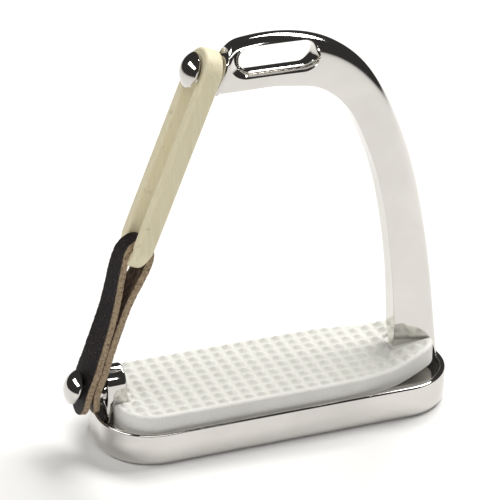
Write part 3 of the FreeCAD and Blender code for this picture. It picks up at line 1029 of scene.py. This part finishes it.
@dataclass
class Stud:
    """A button stud: a neck standing out of the casting and a domed head."""

    name: str
    node: str
    face: np.ndarray
    neck_length: float
    neck: float = 4.0
    head: float = 6.7
    dome: float = 4.2
    root: float = 4.6
    spigot: float = 2.3
    rim: float = 0.9
    roll: float = 0.5

    def profile(self) -> np.ndarray:
        """The section as (reach, radius): neck, fillet, flat underside, rolled rim and a cap of a sphere.

        Returns:
            The section's points, root first.
        """
        reach, neck, head, roll = self.neck_length, self.neck, self.head, self.roll
        shank = np.array([(-self.root, self.spigot), (-0.4, self.spigot), (-0.3, neck), (0.3, neck)])
        run = np.column_stack([np.linspace(0.8, reach - 0.6, 8), np.full(8, neck)])
        turn = np.linspace(0, QUARTER, 5)[1:]
        fillet = np.column_stack([reach - roll + roll * np.sin(turn), neck + roll * (1 - np.cos(turn))])
        under = np.column_stack([np.full(4, reach), np.linspace(neck + 0.9, head - roll, 4)])
        rolled = np.column_stack([reach + roll - roll * np.cos(turn), head - roll + roll * np.sin(turn)])
        rise = self.dome - self.rim
        ball = (head ** 2 + rise ** 2) / (2 * rise)
        widest = math.asin(head / ball)
        sweep = widest * np.linspace(1, 0, 22)[:-1] ** 1.15
        cap = np.column_stack([reach + self.dome - ball + ball * np.cos(sweep), ball * np.sin(sweep)])
        return np.concatenate([shank, run, fillet, under, rolled, cap])

    def assemble(self, finishes: Finishes) -> None:
        """Turns the profile and dresses the stud.

        Args:
            finishes: The materials.
        """
        shell = Shell()
        index = shell.block(turned(self.face, self.profile(), 72))
        shell.skin(index)
        shell.cap(index[0], self.face - OUT * self.root, True)
        shell.cap(index[-1], self.face + OUT * (self.neck_length + self.dome), False)
        settle(shell.object(self.name, 35.0), Body.FRAME, Slot.STEEL, finishes, self.node)


# ---------------------------------------------------------------- rubber and leather


@dataclass
class BandRing:
    """The rubber ring: a rounded oblong section carried round a long loop between stud and tab."""

    straight: float = 69.0
    bore: float = 4.4
    thick: float = 5.0
    width: float = 7.2
    edge: float = 1.25
    top_drop: float = 0.25
    bend: tuple[float, ...] = (2.0, 20.0)
    foot_slim: float = 0.24
    turn_points: int = 36
    run_points: int = 58

    def section(self) -> np.ndarray:
        """The section as (set-out from the bore, across), with quarter-circle corners.

        Returns:
            The section's points.
        """
        centres, ways = rounded_path(self.thick, self.width, self.edge, 7)
        flat = centres + ways * self.edge
        return flat + np.array([self.bore + self.thick / 2, 0.0])

    def assemble(self, finishes: Finishes) -> None:
        """Builds the loop.

        Its middle goes half round the stud, down, half round the foot and up, and it thins towards the foot.

        Args:
            finishes: The materials.
        """
        top = HOOK + DOWN * self.top_drop
        turn = np.linspace(-QUARTER, QUARTER, self.turn_points)
        run = np.linspace(0, 1, self.run_points + 2)[1:-1]
        angle = np.concatenate([turn, np.full_like(run, QUARTER), turn + math.pi,
                                np.full_like(run, 3 * QUARTER)])
        drop = np.concatenate([np.zeros_like(turn), run, np.ones_like(turn), 1 - run]) * self.straight
        way = -DOWN[None] * np.cos(angle)[:, None] + BACK[None] * np.sin(angle)[:, None]
        section = self.section()
        share = drop / self.straight
        low = np.maximum(share, np.where(np.cos(angle) < 0, -np.cos(angle) + share, 0))
        slim = 1 - self.foot_slim * smooth_step((low - 0.85) / 0.8)[:, None, None]
        middle = (top + DOWN * drop[:, None])[:, None]
        rows = middle + way[:, None] * section[None, :, :1] + OUT * section[None, :, 1:] * slim
        shell = Shell()
        shell.skin(shell.block(rows), rows_close=True)
        ring = shell.object("band_ring", 50.0)
        ring.data.materials.append(finishes[Slot.RING])
        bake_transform(ring)
        claim(ring, Slot.RING, "rubber_ring")


@dataclass
class KeeperTab:
    """The leather tab: one strip folded round the ring's foot, its holed ends buttoned on the lower stud."""

    leather: float = 2.6
    twist: float = 0.36
    foot: tuple[float, ...] = (-55.8, 77.0)
    neck: tuple[float, ...] = (-74.4, 24.5)
    fold_half: float = 5.1
    crest: float = 0.147
    toes: tuple[float, ...] = (-3.4, 2.6)
    end_height: float = 15.2
    waist: float = 3.8
    end_half: float = 8.7
    hole: float = 4.3
    ease: float = 0.45
    raggedness: float = 0.09
    seed: int = 7
    crease: float = 60.0
    face_points: int = 15
    corner_points: int = 4
    bend: tuple[float, ...] = (0.08, 0.95)

    def side_line(self) -> np.ndarray:
        """The strip's middle line in XZ, from one end up over the ring's foot and down to the other.

        The law's rows are a share of the way from the foot to the neck, and how far the left and the right
        ply's middles lie from that line.

        Returns:
            The line's knots.
        """
        foot, neck = np.array(self.foot), np.array(self.neck)
        line = neck - foot
        out = np.array([line[1], -line[0]]) / np.linalg.norm(line)
        ply, fold = self.leather / 2, self.fold_half
        law = np.array([(1.0, ply * 1.35, ply * 1.15), (0.86, ply * 1.3, ply * 0.95),
                        (0.7, ply * 1.3, ply * 0.95), (0.5, ply * 1.45, ply * 1.2),
                        (0.32, ply * 1.9, ply * 1.75), (0.15, fold * 0.72, fold * 0.76),
                        (0.0, fold * 0.88, fold), (-0.09, fold * 0.74, fold * 0.86)])
        left = foot + line * law[:, :1] + out * law[:, 1:2]
        right = foot + line * law[:, :1] - out * law[:, 2:]
        crest = foot - line * self.crest
        toe = np.array([[neck[0] + reach, self.end_height] for reach in self.toes])
        return np.concatenate([toe[:1], left, crest[None], right[::-1], toe[1:]])

    def half_width(self, height: np.ndarray) -> np.ndarray:
        """Half the strip's width: a waist, a slow flare, and a round end of a circle.

        Args:
            height: Heights along the strip.

        Returns:
            Half the width at each.
        """
        centre, waist = self.end_height + self.end_half, self.waist
        law = np.array([(centre, self.end_half), (30.4, self.end_half * 0.87), (38.9, waist * 1.42),
                        (47.9, waist * 1.24), (60.0, waist * 1.08), (71.0, waist), (95.0, waist)])
        wide = spline(law[:, 0], law[:, 1:], np.minimum(height, law[-1, 0]))[:, 0]
        fall = np.clip((centre - height) / self.end_half, 0, 1)
        return np.where(height < centre, self.end_half * np.sqrt(np.clip(1 - fall ** 2, 0.0004, 1)), wide)

    def section(self) -> np.ndarray:
        """The flat oblong section with eased corners, going round once from the grain side.

        Returns:
            Rows of four: the height in the ply, the share of half the width, the set-in from the edge and
            the side's mark.
        """
        ease, ply = self.ease, self.leather / 2
        turn = np.linspace(0, QUARTER, self.corner_points)
        grain = np.linspace(-1, 1, self.face_points + 2)[1:-1]
        flat, edge = np.ones_like(grain), np.ones(2 * self.corner_points)
        core = ply - ease
        lift = np.concatenate([flat * ply, core + ease * np.cos(turn), -core - ease * np.sin(turn),
                               -flat * ply, -core - ease * np.cos(turn), core + ease * np.sin(turn)])
        set_in = np.concatenate([flat * ease, ease * (1 - np.sin(turn)), ease * (1 - np.cos(turn))] * 2)
        reach = np.concatenate([grain, edge, grain[::-1], -edge])
        rim = np.concatenate([[0.5, 0.5], edge[3:], [1.5]])
        marks = np.concatenate([flat * 0, rim, flat * 2, rim[::-1]])
        return np.stack([lift, reach, set_in, marks])

    def build(self) -> bpy.types.Object:
        """The section carried along the side line, then holed for the stud.

        Both plies are sheared towards the front by the twist, as smooth steps in and out along the strip, and
        the cut edges wander by a small random amount.

        Returns:
            The object.
        """
        knots = self.side_line()
        walk = chord(knots)
        ends = walk[-1] * 0.12
        at = np.concatenate([ends * eased(61)[:31] * 2, np.linspace(ends, walk[-1] - ends, 150)[1:-1],
                             walk[-1] - (ends * eased(61)[:31] * 2)[::-1]])
        line = spline(walk, knots, at)
        along = np.gradient(line, at, axis=0)
        along /= np.linalg.norm(along, axis=1)[:, None]
        out = np.column_stack([-along[:, 1], along[:, 0]])
        half = self.half_width(line[:, 1])[:, None]
        lift, reach, set_in, marks = self.section()
        ragged = np.random.default_rng(self.seed).normal(0.0, self.raggedness, (len(at), len(reach)))
        wide = reach * (half - np.minimum(set_in, half * 0.9))
        wide = wide + np.sign(reach) * np.where(np.abs(reach) == 1, ragged, 0.0)
        flat = line[:, None] + out[:, None] * lift[None, :, None]
        walked = at / walk[-1]
        held = smooth_step((0.94 - walked) / 0.14) * smooth_step((walked - 0.06) / 0.14)
        lean = self.twist * held * (1 - 0.7 * np.exp(-(((walked - 0.5) / 0.06) ** 2)))
        rows = np.stack([flat[..., 0] - lean[:, None] * wide, wide, flat[..., 1]], axis=-1)
        shell = Shell()
        shell.tube(rows, np.broadcast_to(marks, rows.shape[:2]))
        tab = shell.object("keeper_tab", self.crease)
        peg = Shell()
        peg.tube(turned(LUG_FACE, np.array([(-4.0, self.hole), (20.0, self.hole)]), 64), 1.0)
        carve(tab, peg.object("cutter"), self.crease)
        return tab

    def assemble(self, finishes: Finishes) -> None:
        """Builds and dresses the tab.

        Args:
            finishes: The materials.
        """
        tab = self.build()
        tab.data.materials.append(finishes[Slot.LEATHER])
        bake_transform(tab)
        claim(tab, Slot.LEATHER, "leather_tab")


@dataclass
class TreadPad:
    """The rubber tread pad: a plate of moulded studs, notched for lug and arm, with two plugs below."""

    left: float = -65.6
    right: float = 66.4
    half: float = 22.7
    corner: float = 15.0
    shoulder: float = 9.0
    top: float = 20.5
    low: float = 12.55
    edge: float = 1.3
    pitch: tuple[float, ...] = (5.25, 4.93)
    stud: float = 1.5
    stud_start: float = 0.2
    stud_power: float = 0.95
    stud_margin: tuple[float, ...] = (0.9, 1.5)
    sunk: float = 0.25
    long_points: int = 330
    cross_points: int = 121
    crease: float = 45.0
    lug_notch: tuple[float, ...] = (-59.8, 7.4)
    arm_notch: tuple[float, ...] = (50.4, 5.7)
    notch_corner: float = 0.8
    notch_heights: tuple[float, ...] = (5.0, 40.0)
    end_corner: float = 4.5
    rise: float = 3.6
    rise_start: float = 42.0
    plug: tuple[float, ...] = (46.0, 29.0, 9.0)
    plug_gap: float = 0.4
    plug_edge: float = 0.5
    plug_lap: float = 0.3
    bar: float = 9.0
    plug_low: float = 7.5

    def half_at(self, x: np.ndarray) -> np.ndarray:
        """Half the pad's width: a round corner to the left and a long sweep in to the right.

        Args:
            x: Places along the pad.

        Returns:
            Half the width at each.
        """
        fall = np.clip((self.left + self.corner - x) / self.corner, 0, 1)
        round_end = self.half - self.corner * (1 - np.sqrt(1 - fall ** 2))
        law = np.array([(12.0, self.half), (24.0, self.half - 0.15), (36.2, 21.3), (48.1, 18.5),
                        (56.3, 16.0), (62.0, 13.5), (self.right, self.shoulder + self.end_corner * 0.4)])
        swept = spline(law[:, 0], law[:, 1:], np.clip(x, law[0, 0], law[-1, 0]))[:, 0]
        close = np.clip((x - self.right + self.end_corner) / self.end_corner, 0, 1)
        swept = swept - self.end_corner * (1 - np.sqrt(1 - close ** 2))
        return np.minimum(round_end, np.where(x > law[0, 0], swept, self.half))

    def outline(self) -> np.ndarray:
        """The pad's outline with both notches.

        Returns:
            A closed run of close points.
        """
        x = self.left + (self.right - self.left) * eased(260)
        side = np.column_stack([x, self.half_at(x)])
        lug_x, lug_y = self.lug_notch
        arm_x, arm_y = self.arm_notch
        arm = np.array([(self.right, arm_y), (arm_x, arm_y), (arm_x, 0.0)])
        lug = np.array([(lug_x, 0.0), (lug_x, lug_y), (self.left, lug_y)])
        upper = np.concatenate([self.close_points(lug), side, self.close_points(arm)])
        return np.concatenate([upper, upper[::-1] * (1, -1)])

    @staticmethod
    def close_points(corners: np.ndarray) -> np.ndarray:
        """Fills a run of corners with points at most half a millimetre apart.

        Args:
            corners: The corners.

        Returns:
            The points.
        """
        walk = chord(corners)
        at = np.linspace(0, walk[-1], int(walk[-1] / 0.5) + 2)
        return np.column_stack([np.interp(at, walk, corners[:, k]) for k in range(2)])

    def set_in(self, spots: np.ndarray) -> np.ndarray:
        """How far spots of the plate lie from its outline, nought inside a notch.

        Args:
            spots: Places on the plate, x and y on the last axis.

        Returns:
            One distance for each.
        """
        outline = self.outline()
        flat = spots.reshape(-1, 2)
        far = np.concatenate([np.sqrt(((part[:, None] - outline[None]) ** 2).sum(axis=-1)).min(axis=1)
                              for part in np.array_split(flat, 40)])
        in_lug = (flat[:, 0] < self.lug_notch[0]) & (np.abs(flat[:, 1]) < self.lug_notch[1])
        in_arm = (flat[:, 0] > self.arm_notch[0]) & (np.abs(flat[:, 1]) < self.arm_notch[1])
        return np.where(in_lug | in_arm, 0.0, far).reshape(spots.shape[:-1])

    def build(self) -> bpy.types.Object:
        """Sections across the pad carried along it.

        The top is a quarter circle at the edge, then level, and rows of studs stand on it. Each is the
        product of two raised cosines to a power, faded out towards the outline. The end by the arm rides up.

        Returns:
            The object.
        """
        x = self.left + (self.right - self.left) * (0.25 * eased(self.long_points)
                                                    + 0.75 * np.linspace(0, 1, self.long_points))
        share = 0.3 * (eased(self.cross_points) * 2 - 1) + 0.7 * np.linspace(-1, 1, self.cross_points)
        y = self.half_at(x)[:, None] * share[None]
        spots = np.stack([np.broadcast_to(x[:, None], y.shape), y], axis=-1)
        deep = self.set_in(spots)
        inward = self.edge - np.minimum(deep, self.edge)
        round_off = self.edge - np.sqrt(np.clip(self.edge ** 2 - inward ** 2, 0, None))
        waves = 0.5 + 0.5 * np.cos(2 * math.pi * (spots - (self.stud_start, 0.0)) / self.pitch)
        bump = np.clip(waves[..., 0] * waves[..., 1], 0, 1) ** self.stud_power
        mask = smooth_step((deep - self.stud_margin[0]) / self.stud_margin[1])
        top = self.top - round_off - self.sunk * mask + self.stud * bump * mask
        climb = np.linspace(0, 1, 6)[1:-1]
        near = self.low + (top[:, :1] - self.low) * climb
        far = self.low + (top[:, -1:] - self.low) * climb[::-1]
        near_y, far_y = (np.repeat(y[:, [end]], len(climb), axis=1) for end in (0, -1))
        ring_y = np.concatenate([near_y, y, far_y, y[:, ::-1]], axis=1)
        ring_z = np.concatenate([near, top, far, np.full_like(y, self.low)], axis=1)
        plain = np.zeros_like(near)
        # the top's mark is painted shade: it is high in the valleys between studs, inside the stud field
        marks = np.concatenate([plain, mask * (1 - bump), plain, np.zeros_like(y)], axis=1)
        ramp = smooth_step((x - self.rise_start) / (self.right - self.rise_start))
        ring_z = ring_z + self.rise * ramp[:, None]
        rows = np.stack([np.broadcast_to(x[:, None], ring_y.shape), ring_y, ring_z], axis=-1)
        shell = Shell()
        shell.tube(rows, marks)
        pad = shell.object("tread_rubber", self.crease)
        for notch in self.notches():
            cutter = Tread().slab("cutter", notch, self.notch_corner, *self.notch_heights)
            carve(pad, cutter, self.crease, Solver.FAST)
        return pad

    def notches(self) -> list[tuple[float, float, float]]:
        """The blocks that cut the two notches.

        Returns:
            The middle, length and width of each.
        """
        lug_x, lug_y = self.lug_notch
        arm_x, arm_y = self.arm_notch
        return [(lug_x - 10.0, 20.0, 2 * lug_y), (arm_x + 15.0, 30.0, 2 * arm_y)]

    def build_plugs(self) -> list[bpy.types.Object]:
        """The two plugs that fill the tread's windows.

        Returns:
            The objects.
        """
        length, width, corner = self.plug
        gap = self.plug_gap
        plugs = []
        for name, sign in (("pad_plug_left", -1), ("pad_plug_right", 1)):
            box = (sign * (self.bar + length) / 2, length - 2 * gap, width - 2 * gap)
            plug = Tread().slab(name, box, corner - gap, self.plug_low, self.low + self.plug_lap)
            ease_edges(plug, self.plug_edge, 3)
            plugs.append(plug)
        return plugs

    def assemble(self, finishes: Finishes) -> None:
        """Builds and dresses the pad and its plugs.

        Args:
            finishes: The materials.
        """
        settle(self.build(), Body.FRAME, Slot.PAD, finishes, "tread_pad")
        for plug in self.build_plugs():
            settle(plug, Body.FRAME, Slot.PAD, finishes)


# ---------------------------------------------------------------- studio


@dataclass(frozen=True)
class StripLight:
    """A soft box: where it stands, what it faces, its length, width and power."""

    name: str
    place: tuple[float, ...]
    size: tuple[float, ...]
    power: float
    target: tuple[float, ...] = (0.0, 0.0, 0.07)
    tone: tuple[float, ...] = (1.0, 0.985, 0.96)

    def hang(self) -> None:
        """Puts the light in the scene."""
        lamp = bpy.data.lights.new(self.name, "AREA")
        lamp.shape, (lamp.size, lamp.size_y) = "RECTANGLE", self.size
        lamp.energy, lamp.color = self.power, self.tone
        made = bpy.data.objects.new(self.name, lamp)
        bpy.context.scene.collection.objects.link(made)
        made.location = self.place
        made.rotation_mode = "QUATERNION"
        made.rotation_quaternion = (Vector(self.target) - Vector(self.place)).to_track_quat("-Z", "Y")
        made.visible_camera = False


@dataclass
class Studio:
    """The floor, the dark room above it, the soft boxes and the camera."""

    azimuth: float = 21.45
    elevation: float = 26.81
    distance: float = 0.9164
    target: tuple[float, ...] = (0.0, 0.0, 0.07)
    lens: float = 173.15
    sensor: float = 36.0
    shift: tuple[float, ...] = (-0.0418, 0.0047)
    roll: float = 0.73
    floor_half: float = 6.0
    room: tuple[float, ...] = (0.045, 0.043, 0.042, 1.0)
    lights: tuple[StripLight, ...] = (
        StripLight("key_strip", (0.9, 0.5, 1.5), (1.5, 0.5), 38.0),
        StripLight("left_strip", (-1.3, 0.1, 1.2), (1.6, 0.35), 11.0),
        StripLight("front_strip", (-0.3, -1.4, 1.5), (1.8, 0.3), 11.0),
    )

    def build_floor(self) -> None:
        """A wide level floor."""
        half = self.floor_half
        mesh = bpy.data.meshes.new("studio_floor")
        corners = [(-half, -half, 0), (half, -half, 0), (half, half, 0), (-half, half, 0)]
        mesh.from_pydata(corners, [], [(0, 1, 2, 3)])
        mesh.materials.append(PaleFloor().material())
        floor = bpy.data.objects.new("studio_floor", mesh)
        bpy.context.scene.collection.objects.link(floor)

    def light_room(self) -> None:
        """A dark even room, and the soft boxes."""
        world = bpy.data.worlds.new("room")
        world.use_nodes = True
        world.node_tree.nodes["Background"].inputs["Color"].default_value = self.room
        bpy.context.scene.world = world
        for light in self.lights:
            light.hang()

    def place_camera(self) -> None:
        """The camera, aimed at the target and rolled a little about its own line of sight."""
        turn, rise = math.radians(self.azimuth), math.radians(self.elevation)
        away = Vector((-math.sin(turn) * math.cos(rise), -math.cos(turn) * math.cos(rise), math.sin(rise)))
        lens = bpy.data.cameras.new("camera")
        lens.lens, lens.sensor_width = self.lens, self.sensor
        lens.shift_x, lens.shift_y = self.shift
        lens.clip_start, lens.clip_end = 0.01, 50.0
        camera = bpy.data.objects.new("camera", lens)
        bpy.context.scene.collection.objects.link(camera)
        camera.location = Vector(self.target) + away * self.distance
        camera.rotation_mode = "QUATERNION"
        roll = Quaternion((0.0, 0.0, 1.0), math.radians(self.roll))
        camera.rotation_quaternion = (-away).to_track_quat("-Z", "Y") @ roll
        bpy.context.scene.camera = camera

    def assemble(self) -> None:
        """Sets up the studio."""
        self.build_floor()
        self.light_room()
        self.place_camera()
        bpy.context.scene.view_settings.view_transform = "Standard"


def main() -> None:
    """Builds the stirrup iron and its studio, piece by piece."""
    logging.basicConfig(level=logging.INFO, format="%(name)s %(message)s")
    finishes = make_finishes()
    Casting().assemble(finishes)
    Stud("upper_button", "upper_stud", UPPER_FACE, 9.4).assemble(finishes)
    Stud("lower_button", "lower_stud", LUG_FACE, 11.3).assemble(finishes)
    BandRing().assemble(finishes)
    KeeperTab().assemble(finishes)
    TreadPad().assemble(finishes)
    Studio().assemble()


if __name__ == "__main__":
    main()
